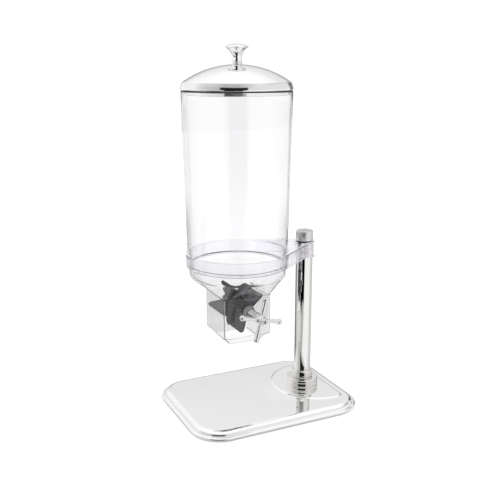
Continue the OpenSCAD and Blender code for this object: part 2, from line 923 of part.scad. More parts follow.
// Soft ring between the lid and the hopper's mouth
module lid_seal() {
    color("dimgray")
        on_axis()
            tube(mouth_r - 0.3, skirt_r, mouth_z, rim_z);
}

// Turned knob: foot, ring, slim neck and crowned head
module lid_knob() {
    neck_r = knob_neck_d / 2;
    ring_r = 1.23 * neck_r;
    head_r = knob_d / 2;
    ring_z = knob_foot_z + 0.145 * knob_h;
    ring_half = 0.06 * knob_h;
    foot_edge = 0.04 * knob_foot_r;
    recess_z = dome_top + foot_edge;
    land = 0.1 * knob_foot_r;
    neck_z = ring_z + 1.5 * ring_half;
    crown_h = 0.175 * knob_h;
    head_z = knob_top - crown_h;
    edge_r = 0.035 * head_r;
    flare = [head_r, neck_z + 0.11 * knob_h];
    color("gainsboro")
        on_axis()
            difference() {
                rotate_extrude()
                    polygon(concat(
                        [[0, recess_z],
                            [knob_foot_r - 2 * land, recess_z],
                            [knob_foot_r - land, knob_foot_z + foot_edge],
                            [knob_foot_r, knob_foot_z],
                            [knob_foot_r, knob_foot_z + foot_edge]],
                        oval([knob_foot_r, ring_z - ring_half], knob_foot_r - ring_r + foot_edge,
                            ring_z - ring_half - knob_foot_z - foot_edge, -100, -180, 6),
                        oval([ring_r - ring_half / 2, ring_z], ring_half / 2, ring_half, -70, 70, 8),
                        oval(flare, head_r - neck_r, head_z - flare[1] - edge_r, 180, 95, 10),
                        arc([head_r - edge_r, head_z], edge_r, -60, 60, 4),
                        oval([0, head_z], head_r - edge_r, crown_h, 12, 90, 12)));
                pin(knob_screw_r, knob_foot_z - overlap, knob_foot_z + knob_hole_depth);
            }
}

// Screw that holds the knob, put in from inside the lid
module knob_screw() {
    head_r = 4.6;
    head_h = 3;
    under = dome_top - 3 * lid_t;
    color("silver")
        on_axis() {
            pin(knob_screw_r, under - 1, knob_foot_z + knob_hole_depth - 2);
            pin(head_r, under - head_h, under);
        }
}

// Washer between the knob's screw and the inside of the dome
module knob_washer() {
    washer_r = 7;
    under = dome_centre_z + sqrt(pow(dome_r - lid_t, 2) - pow(washer_r, 2));
    color("silver")
        on_axis()
            tube(washer_r, knob_screw_r + bolt_gap, dome_top - 3 * lid_t, under);
}

base_plate();
feet();
stiffening_plate();
post_bolt();
post_washer();
foot_plug();
flange_collar();
neck_collar();
post_tube();
top_plug();
bracket();
post_cap();
cap_stud();
hopper();
front_bush();
rear_bush();
drive_shaft();
wheel_core();
vane(0);  // vane_1
vane(1);  // vane_2
vane(2);  // vane_3
vane(3);  // vane_4
vane(4);  // vane_5
cross_handle();
handle_screw();
thrust_washer();
shaft_clip();
lid_dome();
lid_skirt();
lid_seal();
lid_knob();
knob_screw();
knob_washer();
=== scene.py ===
import math
import bpy
import numpy as np
from mathutils import Euler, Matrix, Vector


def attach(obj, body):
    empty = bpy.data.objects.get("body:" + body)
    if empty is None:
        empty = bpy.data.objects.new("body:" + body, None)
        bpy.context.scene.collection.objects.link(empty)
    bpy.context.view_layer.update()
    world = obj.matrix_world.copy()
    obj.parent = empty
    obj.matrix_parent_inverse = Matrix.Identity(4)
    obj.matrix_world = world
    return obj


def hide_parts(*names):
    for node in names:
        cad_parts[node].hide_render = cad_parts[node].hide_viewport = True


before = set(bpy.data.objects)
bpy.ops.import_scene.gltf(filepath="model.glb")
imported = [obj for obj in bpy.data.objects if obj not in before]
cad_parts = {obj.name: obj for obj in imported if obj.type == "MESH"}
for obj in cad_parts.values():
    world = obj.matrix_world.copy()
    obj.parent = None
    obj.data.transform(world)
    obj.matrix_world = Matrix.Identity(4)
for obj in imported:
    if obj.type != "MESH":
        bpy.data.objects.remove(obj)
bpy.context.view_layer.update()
print("frame loaded:", len(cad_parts), "nodes")

mm = 0.001
hopperX = -42.7        # the hopper's axis
shaftZ = 208.8         # height of the wheel's shaft
postX = 102.0          # the post's axis


def arc(cx, cy, rx, a, b, steps=12, ry=None):
    # points of an ellipse's arc: centre plus the radii times the cosine and sine of an even run of angles
    turn = np.radians(np.linspace(a, b, steps))
    return np.stack([cx + rx * np.cos(turn), cy + (rx if ry is None else ry) * np.sin(turn)], axis=1)


def chain(*parts):
    # one list of points out of several
    return np.concatenate([np.asarray(part, float).reshape(-1, 2) for part in parts])


def softProfile(corners, steps=5):
    # a chain of straight lines whose corners (x, y, setback) are rounded by a quadratic Bezier arc
    corners = np.asarray(corners, float)
    out = [corners[:1, :2]]
    share = np.linspace(0, 1, steps)[:, None]
    for before, here, after in zip(corners[:-2], corners[1:-1], corners[2:]):
        p, back, on = here[:2], before[:2] - here[:2], after[:2] - here[:2]
        if here[2] <= 0:
            out.append(p[None])
            continue
        a = p + back * min(0.49, here[2] / np.linalg.norm(back))
        b = p + on * min(0.49, here[2] / np.linalg.norm(on))
        out.append((1 - share) ** 2 * a + 2 * share * (1 - share) * p + share ** 2 * b)
    out.append(corners[-1:, :2])
    return np.concatenate(out)


def softStack(rings, setbacks, steps=6):
    # the same rounding for a stack of rings: each column of points is a chain, rounded at every inner ring
    rows = [rings[0][None]]
    share = np.linspace(0, 1, steps)[:, None, None]
    for i in range(1, len(rings) - 1):
        here, setback = rings[i], setbacks[i]
        if setback <= 0:
            rows.append(here[None])
            continue
        back, on = rings[i - 1] - here, rings[i + 1] - here
        lengthBack = np.linalg.norm(back, axis=1, keepdims=True) + 1e-9
        lengthOn = np.linalg.norm(on, axis=1, keepdims=True) + 1e-9
        a = here + back * np.minimum(0.49, setback / lengthBack)
        b = here + on * np.minimum(0.49, setback / lengthOn)
        rows.append((1 - share) ** 2 * a + 2 * share * (1 - share) * here + share ** 2 * b)
    rows.append(rings[-1][None])
    return np.concatenate(rows)


def gridShell(grid, closedRows=False):
    # vertices and faces of a grid whose columns close on themselves; a row with no extent becomes a pole
    rows, cols = grid.shape[:2]
    vertexOf = np.empty((rows, cols), int)
    points, count = [], 0
    for i, row in enumerate(grid):
        if np.ptp(row, axis=0).max() < 1e-6:
            points.append(row[:1])
            vertexOf[i] = count
            count += 1
        else:
            points.append(row)
            vertexOf[i] = np.arange(count, count + cols)
            count += cols
    points = np.concatenate(points)
    low = vertexOf if closedRows else vertexOf[:-1]
    high = np.roll(vertexOf, -1, axis=0) if closedRows else vertexOf[1:]
    quads = np.stack([low, np.roll(low, -1, axis=1), np.roll(high, -1, axis=1), high], axis=2).reshape(-1, 4)
    solid = quads[(quads[:, 0] != quads[:, 1]) & (quads[:, 2] != quads[:, 3])]
    startFan = quads[(quads[:, 0] == quads[:, 1]) & (quads[:, 2] != quads[:, 3])][:, [0, 2, 3]]
    endFan = quads[(quads[:, 0] != quads[:, 1]) & (quads[:, 2] == quads[:, 3])][:, [0, 1, 2]]
    fans = np.concatenate([startFan, endFan])
    # six times the volume is the sum of each triangle's triple product; below zero the faces point inwards
    tri = np.concatenate([points[solid[:, [0, 1, 2]]], points[solid[:, [0, 2, 3]]], points[fans]])
    volume = np.einsum("ij,ij->", tri[:, 0], np.cross(tri[:, 1], tri[:, 2]))
    faces = solid.tolist() + fans.tolist()
    if volume < 0:
        faces = [face[::-1] for face in faces]
    return points, faces


def joinShells(shells):
    # several shells as one: their vertices in a row, their faces counted on from the shell before
    points, faces, start = [], [], 0
    for shellPoints, shellFaces in shells:
        points.append(shellPoints)
        faces += [[v + start for v in face] for face in shellFaces]
        start += len(shellPoints)
    return np.concatenate(points), faces


def lathe(profile, steps=192):
    # surface of revolution: each profile point (r, z) is carried round the Z axis
    turn = np.linspace(0, 2 * np.pi, steps, endpoint=False)
    r, z = profile[:, 0, None], profile[:, 1, None]
    return np.stack([r * np.cos(turn), r * np.sin(turn), z + 0 * turn], axis=2)


def alongShaft(grid, turn=0.0):
    # a grid made round Z is laid along the shaft: Z points forwards, and it turns about the shaft
    c, s = math.cos(math.radians(turn)), math.sin(math.radians(turn))
    x, y, z = grid[..., 0], grid[..., 1], grid[..., 2]
    return np.stack([hopperX + x * c - y * s, -z, shaftZ + x * s + y * c], axis=-1)


def moved(grid, x):
    # every point carried along X
    return grid + np.array([x, 0.0, 0.0])


def makePiece(name, shell, body, finish, hides, sharp=35):
    # a mesh in metres, smooth where its faces meet at less than the sharp angle, in place of the nodes that
    # it hides
    points, faces = shell
    mesh = bpy.data.meshes.new(name)
    mesh.from_pydata((points * mm).tolist(), [], faces)
    mesh.validate()
    mesh.shade_smooth()
    mesh.set_sharp_from_angle(angle=math.radians(sharp))
    piece = bpy.data.objects.new(name, mesh)
    bpy.context.collection.objects.link(piece)
    mesh.materials.append(finish)
    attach(piece, body)
    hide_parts(*hides)
    return piece


class Wire:
    # a socket whose arithmetic adds Math nodes to its finish
    def __init__(self, finish, socket):
        self.finish, self.socket = finish, socket

    def __add__(self, other): return self.finish.maths("ADD", self, other)
    def __radd__(self, other): return self.finish.maths("ADD", other, self)
    def __sub__(self, other): return self.finish.maths("SUBTRACT", self, other)
    def __rsub__(self, other): return self.finish.maths("SUBTRACT", other, self)
    def __mul__(self, other): return self.finish.maths("MULTIPLY", self, other)
    def __rmul__(self, other): return self.finish.maths("MULTIPLY", other, self)
    def __truediv__(self, other): return self.finish.maths("DIVIDE", self, other)


class Finish:
    # a node tree that is built by calls; a ramp's stops are pairs of place and grey or colour
    def __init__(self, name, tree=None):
        if tree is None:
            self.material = bpy.data.materials.new(name)
            self.material.use_nodes = True
            tree = self.material.node_tree
        self.tree = tree
        tree.nodes.clear()

    def node(self, kind, settings=None, sockets=None, out=0):
        # a new node with its settings; a socket's value is a Wire to link or a number or tone to set
        made = self.tree.nodes.new(kind)
        for key, value in (settings or {}).items():
            if key == "stops":
                ramp = made.color_ramp
                while len(ramp.elements) < len(value):
                    ramp.elements.new(0.5)
                for element, (place, colour) in zip(ramp.elements, value):
                    element.position = place
                    element.color = colour if isinstance(colour, tuple) else (colour, colour, colour, 1)
            else:
                setattr(made, key, value)
        for key, value in (sockets or {}).items():
            if isinstance(value, Wire):
                self.tree.links.new(value.socket, made.inputs[key])
            else:
                made.inputs[key].default_value = value
        return Wire(self, made.outputs[out]) if len(made.outputs) else None

    def maths(self, operation, a, b):
        return self.node("ShaderNodeMath", {"operation": operation}, {0: a, 1: b})

    def times(self, a, b):
        # two colours multiplied, channel by channel
        settings = {"data_type": "RGBA", "blend_type": "MULTIPLY"}
        return self.node("ShaderNodeMix", settings, {0: 1.0, 6: a, 7: b}, out=2)

    def axes(self, vector):
        # x, y and z of a vector
        outputs = self.node("ShaderNodeSeparateXYZ", None, {"Vector": vector}).socket.node.outputs
        return [Wire(self, outputs[i]) for i in range(3)]

    def place(self, scale=(1, 1, 1), at=(0, 0, 0)):
        # the point on the piece, less at in millimetres, over the scale
        coordinates = self.node("ShaderNodeTexCoord", out="Object")
        return self.node("ShaderNodeMapping", {"vector_type": "TEXTURE"},
                         {"Vector": coordinates, "Location": [v * mm for v in at], "Scale": scale})

    def noise(self, vector, scale, detail=2.0, roughness=0.5):
        return self.node("ShaderNodeTexNoise", None,
                         {"Vector": vector, "Scale": scale, "Detail": detail, "Roughness": roughness})

    def ramp(self, fac, *stops):
        return self.node("ShaderNodeValToRGB", {"stops": stops}, {"Fac": fac})

    def bump(self, height, strength, distance, under=None):
        # a normal tilted by the height's slope, on top of the normal under it
        sockets = {"Height": height, "Strength": strength, "Distance": distance}
        if under is not None:
            sockets["Normal"] = under
        return self.node("ShaderNodeBump", None, sockets)

    def surface(self, **sockets):
        # a Principled surface to end with; an underscore in a socket's name stands for a space
        shader = self.node("ShaderNodeBsdfPrincipled", None,
                           {key.replace("_", " "): value for key, value in sockets.items()})
        self.node("ShaderNodeOutputMaterial", None, {"Surface": shader})
        return self.material


def mirrorSteel(name, tone, wave, roughness):
    # polished stainless steel: slow waves in the pressed sheet, hairlines in the gloss and a faint haze
    look = Finish(name)
    place = look.place()
    waves = look.noise(place, 14, 1.5)
    hair = look.noise(look.place(scale=(0.02, 1, 1)), 900, 3, 0.6)
    haze = look.noise(place, 38, 4, 0.6)
    gloss = look.ramp(haze * 0.6 + hair * 0.4, (0.35, roughness), (0.7, roughness * 1.8))
    normal = look.bump(hair, 0.012, 0.00002, look.bump(waves, wave, 0.0006))
    colour = look.ramp(haze, (0.3, (*[t * 0.985 for t in tone], 1)), (0.75, (*tone, 1)))
    return look.surface(Base_Color=colour, Metallic=1.0, Roughness=gloss, Normal=normal)


def clearPlastic(name, tone, thinTone, waveHeight, depths, edgeShadeStops, straightShare=0.0, shadowShare=0.86):
    # clear moulded plastic: refraction with slow flow waves, fine scuffs and a light shadow; its tone is
    # darkened by painted shade where the wall is seen edge-on, a dark outline standing in for the dark
    # surroundings that its edges would show, and deepens with the height, as in depths, pairs of millimetres
    # and tone; where it is seen from in front, straightShare of the light goes through unbent, in the thin
    # tone
    look = Finish(name)
    place = look.place()
    flow = look.noise(place, 22, 2)
    scuffs = look.noise(look.place(scale=(1, 1, 0.12)), 700, 3, 0.65)
    gloss = look.ramp(scuffs, (0.45, 0.0), (0.75, 0.02))
    normal = look.bump(flow, 0.35, waveHeight)
    facing = look.node("ShaderNodeLayerWeight", None, {"Blend": 0.5}, out="Facing")
    # painted shade: the tone darkens as the wall turns edge-on, an outline standing in for dark surroundings
    edge = look.ramp(facing, *edgeShadeStops)
    low, high = depths[0][0], depths[-1][0]
    height = (look.axes(look.place())[2] / mm - low) / (high - low)
    stops = [((z - low) / (high - low), (*[t * share for t in tone], 1)) for z, share in depths]
    depth = look.ramp(height, *stops)
    shader = look.node("ShaderNodeBsdfPrincipled", None, {
        "Base Color": look.times(depth, edge), "Transmission Weight": 1.0, "IOR": 1.49, "Roughness": gloss,
        "Normal": normal})
    through = look.node("ShaderNodeBsdfTransparent", None, {"Color": (*thinTone, 1)})
    rays = look.node("ShaderNodeLightPath").socket.node.outputs
    straight = Wire(look, rays["Is Shadow Ray"]) * shadowShare
    if straightShare:
        straight = look.maths("MAXIMUM", straight, look.ramp(facing, (0.5, straightShare), (0.75, 0.0)))
    mixed = look.node("ShaderNodeMixShader", None, {0: straight, 1: shader, 2: through})
    look.node("ShaderNodeOutputMaterial", None, {"Surface": mixed})
    return look.material


def rubber(name, tone, panelGlowTone=None):
    # dull moulded rubber: fine grain, faint flow marks and a dusting of lighter wear; a vane's thin panel,
    # marked by the piece's own attribute, is painted lighter: painted light standing in for light coming
    # through it
    look = Finish(name)
    place = look.place()
    grain = look.noise(place, 1600, 2)
    wear = look.noise(place, 90, 5, 0.62)
    colour = look.ramp(wear, (0.35, (*tone, 1)), (0.8, (*[t * 1.9 + 0.006 for t in tone], 1)))
    if panelGlowTone is not None:
        panel = look.node("ShaderNodeAttribute", {"attribute_name": "panel"}, out="Fac")
        # painted light: the thin panel's lighter tone stands in for light that comes through the thin rubber
        panelGlow = look.ramp(wear, (0.35, (*panelGlowTone, 1)), (0.8, (*[t * 1.3 for t in panelGlowTone], 1)))
        colour = look.node("ShaderNodeMix", {"data_type": "RGBA"}, {0: panel, 6: colour, 7: panelGlow}, out=2)
    gloss = look.ramp(wear, (0.3, 0.42), (0.75, 0.6))
    return look.surface(Base_Color=colour, Roughness=gloss, Specular_IOR_Level=0.3,
                        Normal=look.bump(grain, 0.25, 0.00006))


def mouldedPlastic(name, tone, gloss):
    # moulded plastic: fine grain, and clouds that shift tone and gloss a little
    look = Finish(name)
    place = look.place()
    grain = look.noise(place, 1100, 2)
    cloud = look.noise(place, 60, 3)
    colour = look.ramp(cloud, (0.3, (*[t * 0.92 for t in tone], 1)), (0.7, (*tone, 1)))
    rough = look.ramp(cloud, (0.3, gloss), (0.7, gloss + 0.12))
    return look.surface(Base_Color=colour, Roughness=rough, Normal=look.bump(grain, 0.2, 0.00004))


def plainSteel(name, tone):
    # machined hardware: short drawn lines along Z and a mottled plating
    look = Finish(name)
    lines = look.noise(look.place(scale=(1, 1, 0.03)), 900, 3)
    cloud = look.noise(look.place(), 120, 4)
    colour = look.ramp(cloud, (0.3, (*[t * 0.85 for t in tone], 1)), (0.75, (*tone, 1)))
    rough = look.ramp(cloud * 0.5 + lines * 0.5, (0.35, 0.22), (0.7, 0.42))
    return look.surface(Base_Color=colour, Metallic=1.0, Roughness=rough,
                        Normal=look.bump(lines, 0.25, 0.00004))


def brushedRound(name, tone, centre, gloss):
    # satin steel turned on a lathe: rings of fine lines round the piece's own axis
    look = Finish(name)
    place = look.place(at=centre)
    x, y, z = look.axes(place)
    radius = look.node("ShaderNodeMath", {"operation": "SQRT"}, {0: x * x + y * y})
    ringPlace = look.node("ShaderNodeCombineXYZ", None, {"X": radius, "Y": z, "Z": 0.0})
    rings = look.noise(ringPlace, 3200, 3, 0.7)
    broad = look.noise(ringPlace, 420, 2)
    rough = look.ramp(rings * 0.5 + broad * 0.5, (0.35, gloss[0]), (0.65, gloss[1]))
    colour = look.ramp(broad, (0.3, (*[t * 0.93 for t in tone], 1)), (0.7, (*tone, 1)))
    return look.surface(Base_Color=colour, Metallic=1.0, Roughness=rough, Anisotropic=0.5,
                        Normal=look.bump(rings, 0.3, 0.00003))


finishes = {
    "polishedSteel": mirrorSteel("polishedSteel", (0.95, 0.95, 0.945), wave=0.04, roughness=0.02),
    "postSteel": mirrorSteel("postSteel", (0.9, 0.89, 0.875), wave=0.02, roughness=0.015),
    "collarSteel": mirrorSteel("collarSteel", (0.82, 0.81, 0.795), wave=0.02, roughness=0.015),
    "lidSteel": mirrorSteel("lidSteel", (0.93, 0.93, 0.93), wave=0.05, roughness=0.02),
    "handleChrome": mirrorSteel("handleChrome", (0.8, 0.8, 0.8), wave=0.03, roughness=0.015),
    "satinCap": brushedRound("satinCap", (0.8, 0.8, 0.795), (postX, 0, 320), (0.28, 0.42)),
    # the last list of each clear wall is its painted edge shade, as pairs of facing and tone
    "clearWall": clearPlastic("clearWall", (0.985, 0.987, 0.993), (0.97, 0.97, 0.98), 0.00004,
                              [(150, 0.86), (236, 0.86), (268, 0.92), (292, 0.98), (320, 1.0)],
                              [(0.28, 1.0), (0.47, 0.955), (0.63, 0.93), (0.75, 0.9), (0.9, 0.74)]),
    "tintedWall": clearPlastic("tintedWall", (0.965, 0.96, 0.98), (0.965, 0.961, 0.977), 0.0001,
                               [(285, 0.97), (325, 1.0)],
                               [(0.5, 1.0), (0.75, 0.95), (0.9, 0.84)], straightShare=0.92),
    "bushPlastic": mouldedPlastic("bushPlastic", (0.2, 0.2, 0.205), 0.35),
    # the vanes' second tone is painted light: lighter on the thin panels, as light coming through them
    "vaneRubber": rubber("vaneRubber", (0.008, 0.009, 0.011), (0.034, 0.036, 0.042)),
    "footRubber": rubber("footRubber", (0.028, 0.028, 0.028)),
    "corePlastic": mouldedPlastic("corePlastic", (0.02, 0.02, 0.022), 0.4),
    "bearingPlastic": mouldedPlastic("bearingPlastic", (0.82, 0.82, 0.8), 0.3),
    "hardware": plainSteel("hardware", (0.62, 0.61, 0.6)),
}
print("finishes made:", len(finishes))


tray = {
    "halfLength": 173.0, "halfWidth": 132.5, "cornerR": 59.5, "top": 18.5, "sheet": 1.2,
    "beadR": 4.2, "lift": 1.5, "groove": 2.3, "brow": 10.8,
    "padTop": 20.1, "padR": 87.0, "padCentre": 130.0, "padSide": 145.0, "padCornerR": 12.0, "padEdge": 2.2,
    "middle": (100.0, 0.0), "columns": 760,
}


def trayLoops():
    # the flat's outline and the pad's outline, both read off at the same angles about a point inside the pad
    t = tray
    inset = t["beadR"] + t["groove"] + t["brow"]
    hx, hy, r = t["halfLength"] - inset, t["halfWidth"] - inset, t["cornerR"] - inset
    corners = []
    for k, (sx, sy) in enumerate(((1, 1), (-1, 1), (-1, -1), (1, -1))):
        turn = np.linspace(k * 90, k * 90 + 90, 600)
        c, s = np.cos(np.radians(turn)), np.sin(np.radians(turn))
        corners.append(np.stack([sx * (hx - r) + r * c, sy * (hy - r) + r * s, c, s], axis=1))
    outline = []
    share = np.linspace(0, 1, 402)[1:-1, None]
    for here, after in zip(corners, corners[1:] + corners[:1]):
        outline += [here, here[-1] * (1 - share) + after[0] * share]
    outline = np.concatenate(outline)
    cornerX = t["padSide"] - t["padCornerR"]
    cornerY = math.sqrt((t["padR"] - t["padCornerR"]) ** 2 - (cornerX - t["padCentre"]) ** 2)
    meet = math.degrees(math.atan2(cornerY, cornerX - t["padCentre"]))
    corner = arc(cornerX, cornerY, t["padCornerR"], 0, meet, 160)
    roundSide = arc(t["padCentre"], 0, t["padR"], meet, 360 - meet, 1600)
    side = np.stack([np.full(300, t["padSide"]), np.linspace(-cornerY, cornerY, 300)], axis=1)
    pad = np.concatenate([corner, roundSide, corner[::-1] * [1, -1], side])
    ahead = np.roll(pad, -1, axis=0) - np.roll(pad, 1, axis=0)
    normal = np.stack([ahead[:, 1], -ahead[:, 0]], axis=1)
    normal /= np.linalg.norm(normal, axis=1, keepdims=True)
    pad = np.concatenate([pad, normal], axis=1)
    centre = np.array(t["middle"])

    def byAngle(curve):
        # a curve's points in the order of their angle, the arc tangent of y over x, about the centre
        turn = np.mod(np.arctan2(curve[:, 1] - centre[1], curve[:, 0] - centre[0]), 2 * np.pi)
        order = np.argsort(turn)
        return turn[order], curve[order]

    outTurn, outCurve = byAngle(outline)
    padTurn, padCurve = byAngle(pad)
    half = t["columns"] // 2
    turns = np.sort(np.concatenate([outTurn[np.linspace(0, len(outTurn) - 1, half).astype(int)],
                                    padTurn[np.linspace(0, len(padTurn) - 1, half).astype(int)] + 1e-5]))

    def read(turn, curve):
        # the curve between its points, by straight lines, at the shared angles
        return np.stack([np.interp(turns, turn, curve[:, i], period=2 * np.pi) for i in range(4)], axis=1)

    return centre, read(outTurn, outCurve), read(padTurn, padCurve)


def trayGrid():
    # rows from the pad's middle out over the flat, the shoulder and the rolled edge, and back underneath
    t = tray
    centre, out, pad = trayLoops()
    beadAt = t["groove"] + t["brow"]
    beadTop = t["lift"] + 2 * t["beadR"]
    shoulder = t["top"] - beadTop

    def ring(curve, reach, z):
        # a curve plus its reach times the normals
        return np.concatenate([curve[:, :2] + reach * curve[:, 2:], np.full((len(curve), 1), z)], axis=1)

    def between(share, z):
        # a share of the way from the foot of the pad's edge to the flat's outline
        flat = (1 - share) * (pad[:, :2] + t["padEdge"] * pad[:, 2:]) + share * out[:, :2]
        return np.concatenate([flat, np.full((len(flat), 1), z)], axis=1)

    def toMiddle(share, z):
        # a share of the way from the middle to the pad's outline
        flat = centre + share * (pad[:, :2] - centre)
        return np.concatenate([flat, np.full((len(flat), 1), z)], axis=1)

    rim = chain(
        arc(0, beadTop, t["brow"], 88, 3, 18, shoulder),
        softProfile([(t["brow"], beadTop + 0.4, 0), (t["brow"] + 0.1, beadTop - 0.1, 0.4),
                     (beadAt - 0.2, beadTop - 0.15, 0)], 4),
        arc(beadAt, t["lift"] + t["beadR"], t["beadR"], 86, -90, 26),
        arc(beadAt, t["lift"] + t["beadR"], t["beadR"] - t["sheet"], -90, 90, 16),
        arc(0, beadTop - t["sheet"], t["brow"] - t["sheet"], 0, 90, 14, shoulder),
    )
    under = t["top"] - t["sheet"]
    padUnder = t["padTop"] - t["sheet"]
    rows = [toMiddle(share, t["padTop"]) for share in (0, 0.35, 0.7, 0.9)]
    padEdge = ((-1.4, 20.1), (-0.8, 20.06), (-0.3, 19.9), (0.2, 19.55), (0.7, 19.1), (1.2, 18.75),
               (1.7, 18.55), (t["padEdge"], t["top"]))
    rows += [ring(pad, reach, z) for reach, z in padEdge]
    rows += [between(share, t["top"]) for share in (0.25, 0.5, 0.75, 0.96)]
    rows += [ring(out, 0, t["top"])]
    rows += [ring(out, reach, z) for reach, z in rim]
    rows += [ring(out, 0, under)]
    rows += [between(share, under) for share in (0.5, 0.05)]
    underEdge = ((0.6, under + 0.1), (-0.6, padUnder - 0.2), (-1.4, padUnder))
    rows += [ring(pad, reach, z) for reach, z in underEdge]
    rows += [toMiddle(share, padUnder) for share in (0.5, 0)]
    return np.stack(rows)


makePiece("tray", gridShell(trayGrid()), "stand", finishes["polishedSteel"],
          ["base_plate"])
print("tray made")


post = {
    "r": 16.5, "bore": 15.0, "foot": 20.1, "top": 317.82,
    "flangeR": 31.0, "flangeTop": 35.6, "fineLine": 9.45, "neckR": 20.5, "neckTop": 51.1,
    "capFoot": 321.58, "capTop": 341.0, "studR": 4.0, "studDepth": 12.5,
}

p = post
flange = softProfile([(p["r"], p["foot"] + 0.1, 0), (p["flangeR"] - 0.5, p["foot"], 0.8),
                      (p["flangeR"], p["foot"] + 0.8, 0.5),
                      (p["flangeR"], p["foot"] + p["fineLine"] - 0.35, 0.25),
                      (p["flangeR"] - 0.45, p["foot"] + p["fineLine"], 0.2),
                      (p["flangeR"], p["foot"] + p["fineLine"] + 0.35, 0.25),
                      (p["flangeR"], p["flangeTop"], 1.6), (p["neckR"] + 1, p["flangeTop"] - 0.2, 1.0),
                      (p["r"], p["flangeTop"] - 0.2, 0)])
makePiece("flangeCollar", gridShell(moved(lathe(flange), postX), closedRows=True), "stand",
          finishes["collarSteel"], ["flange_collar"])
neck = softProfile([(p["r"], p["flangeTop"], 0), (p["neckR"], p["flangeTop"], 0.5),
                    (p["neckR"], p["neckTop"], 1.2), (p["r"] + 0.6, p["neckTop"], 0.6),
                    (p["r"], p["neckTop"] - 0.7, 0)])
makePiece("neckCollar", gridShell(moved(lathe(neck), postX), closedRows=True), "stand",
          finishes["collarSteel"], ["neck_collar"])
tube = np.array([(p["r"], z) for z in np.linspace(p["foot"], p["top"], 24)]
                + [(p["bore"], z) for z in np.linspace(p["top"], p["foot"], 8)])
makePiece("postTube", gridShell(moved(lathe(tube), postX), closedRows=True), "stand",
          finishes["postSteel"], ["post_tube"])
studEnd = p["capFoot"] + p["studDepth"]
cap = chain(softProfile([
    (p["studR"], studEnd, 0), (p["studR"], p["capFoot"], 0.2), (p["r"] - 0.5, p["capFoot"], 0.3),
    (p["r"], p["capFoot"] + 0.5, 0.3), (p["r"], p["capTop"] - 1.6, 0.4), (p["r"] - 1.0, p["capTop"], 0.5),
    (p["r"] - 4, p["capTop"] - 0.1, 1.0), (0, p["capTop"] - 0.25, 0)]), [(0, studEnd)])
makePiece("postCap", gridShell(moved(lathe(cap), postX), closedRows=True), "stand",
          finishes["satinCap"], ["post_cap"])
print("post made")


def copyOfNode(name, node, body, finish, sharp=28):
    # the solid's own surface, welded and shaded smooth between its edges
    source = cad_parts[node].data
    count = len(source.vertices)
    points = np.empty(count * 3, np.float32)
    source.vertices.foreach_get("co", points)
    points = points.reshape(-1, 3)
    unique, index = np.unique(np.round(points / 2e-6).astype(np.int64), axis=0, return_inverse=True)
    first = np.zeros(len(unique), int)
    first[index.ravel()] = np.arange(count)
    corner = np.empty(len(source.loops), np.int32)
    source.loops.foreach_get("vertex_index", corner)
    tri = index.ravel()[corner].reshape(-1, 3)
    tri = tri[(tri[:, 0] != tri[:, 1]) & (tri[:, 1] != tri[:, 2]) & (tri[:, 0] != tri[:, 2])]
    return makePiece(name, (points[first] / mm, tri.tolist()), body, finish, [node], sharp)


copyOfNode("ringAndArm", "bracket", "stand", finishes["tintedWall"])
print("ring and arm made")


hopper = {
    "mouthR": 100.2, "mouthZ": 608.3, "seatR": 93.3, "seatZ": 291.0, "waistR": 90.6, "waistZ": 274.0,
    "shoulderR": 9, "shoulderTurn": 40, "chamberTop": 236.2, "chamberBottom": 160.2, "half": 47.5,
    "cornerR": 7.0, "spoutX": 34.0, "spoutY": 36.0, "spoutTop": 147.8, "spoutZ": 145.8, "wall": 2.5,
    "cornerPoints": 40, "sidePoints": 10, "sideTurn": 1.6,
}


def hopperAngles():
    # each quadrant has a run of points for its corner and one for the middle of a side
    h = hopper
    corner = np.linspace(0, 90, h["cornerPoints"])
    side = np.linspace(0, 1, h["sidePoints"] + 2)[1:-1]
    return corner, side


def roundRing(r, z):
    # a circle with the same points as the square: sideTurn degrees of it become half a straight side
    corner, side = hopperAngles()
    edge = hopper["sideTurn"]
    turns = []
    for k in range(4):
        turns += [k * 90 + edge + corner * (90 - 2 * edge) / 90, k * 90 + 90 - edge + side * 2 * edge]
    turn = np.radians(np.concatenate(turns))
    return np.stack([r * np.cos(turn), r * np.sin(turn), z + 0 * turn], axis=1)


def squareRing(halfX, halfY, r, z):
    # a rectangle with round corners: quarter circles joined by evenly spaced points on the straight sides
    corner, side = hopperAngles()
    turn = np.radians(corner)
    points = []
    share = side[:, None]
    corners = []
    for k, (sx, sy) in enumerate(((1, 1), (-1, 1), (-1, -1), (1, -1))):
        angle = turn + k * np.pi / 2
        middleX, middleY = sx * (halfX - r), sy * (halfY - r)
        corners.append(np.stack([middleX + r * np.cos(angle), middleY + r * np.sin(angle)], axis=1))
    for here, after in zip(corners, corners[1:] + corners[:1]):
        points += [here, here[-1] * (1 - share) + after[0] * share]
    flat = np.concatenate(points)
    return np.concatenate([flat, np.full((len(flat), 1), z)], axis=1)


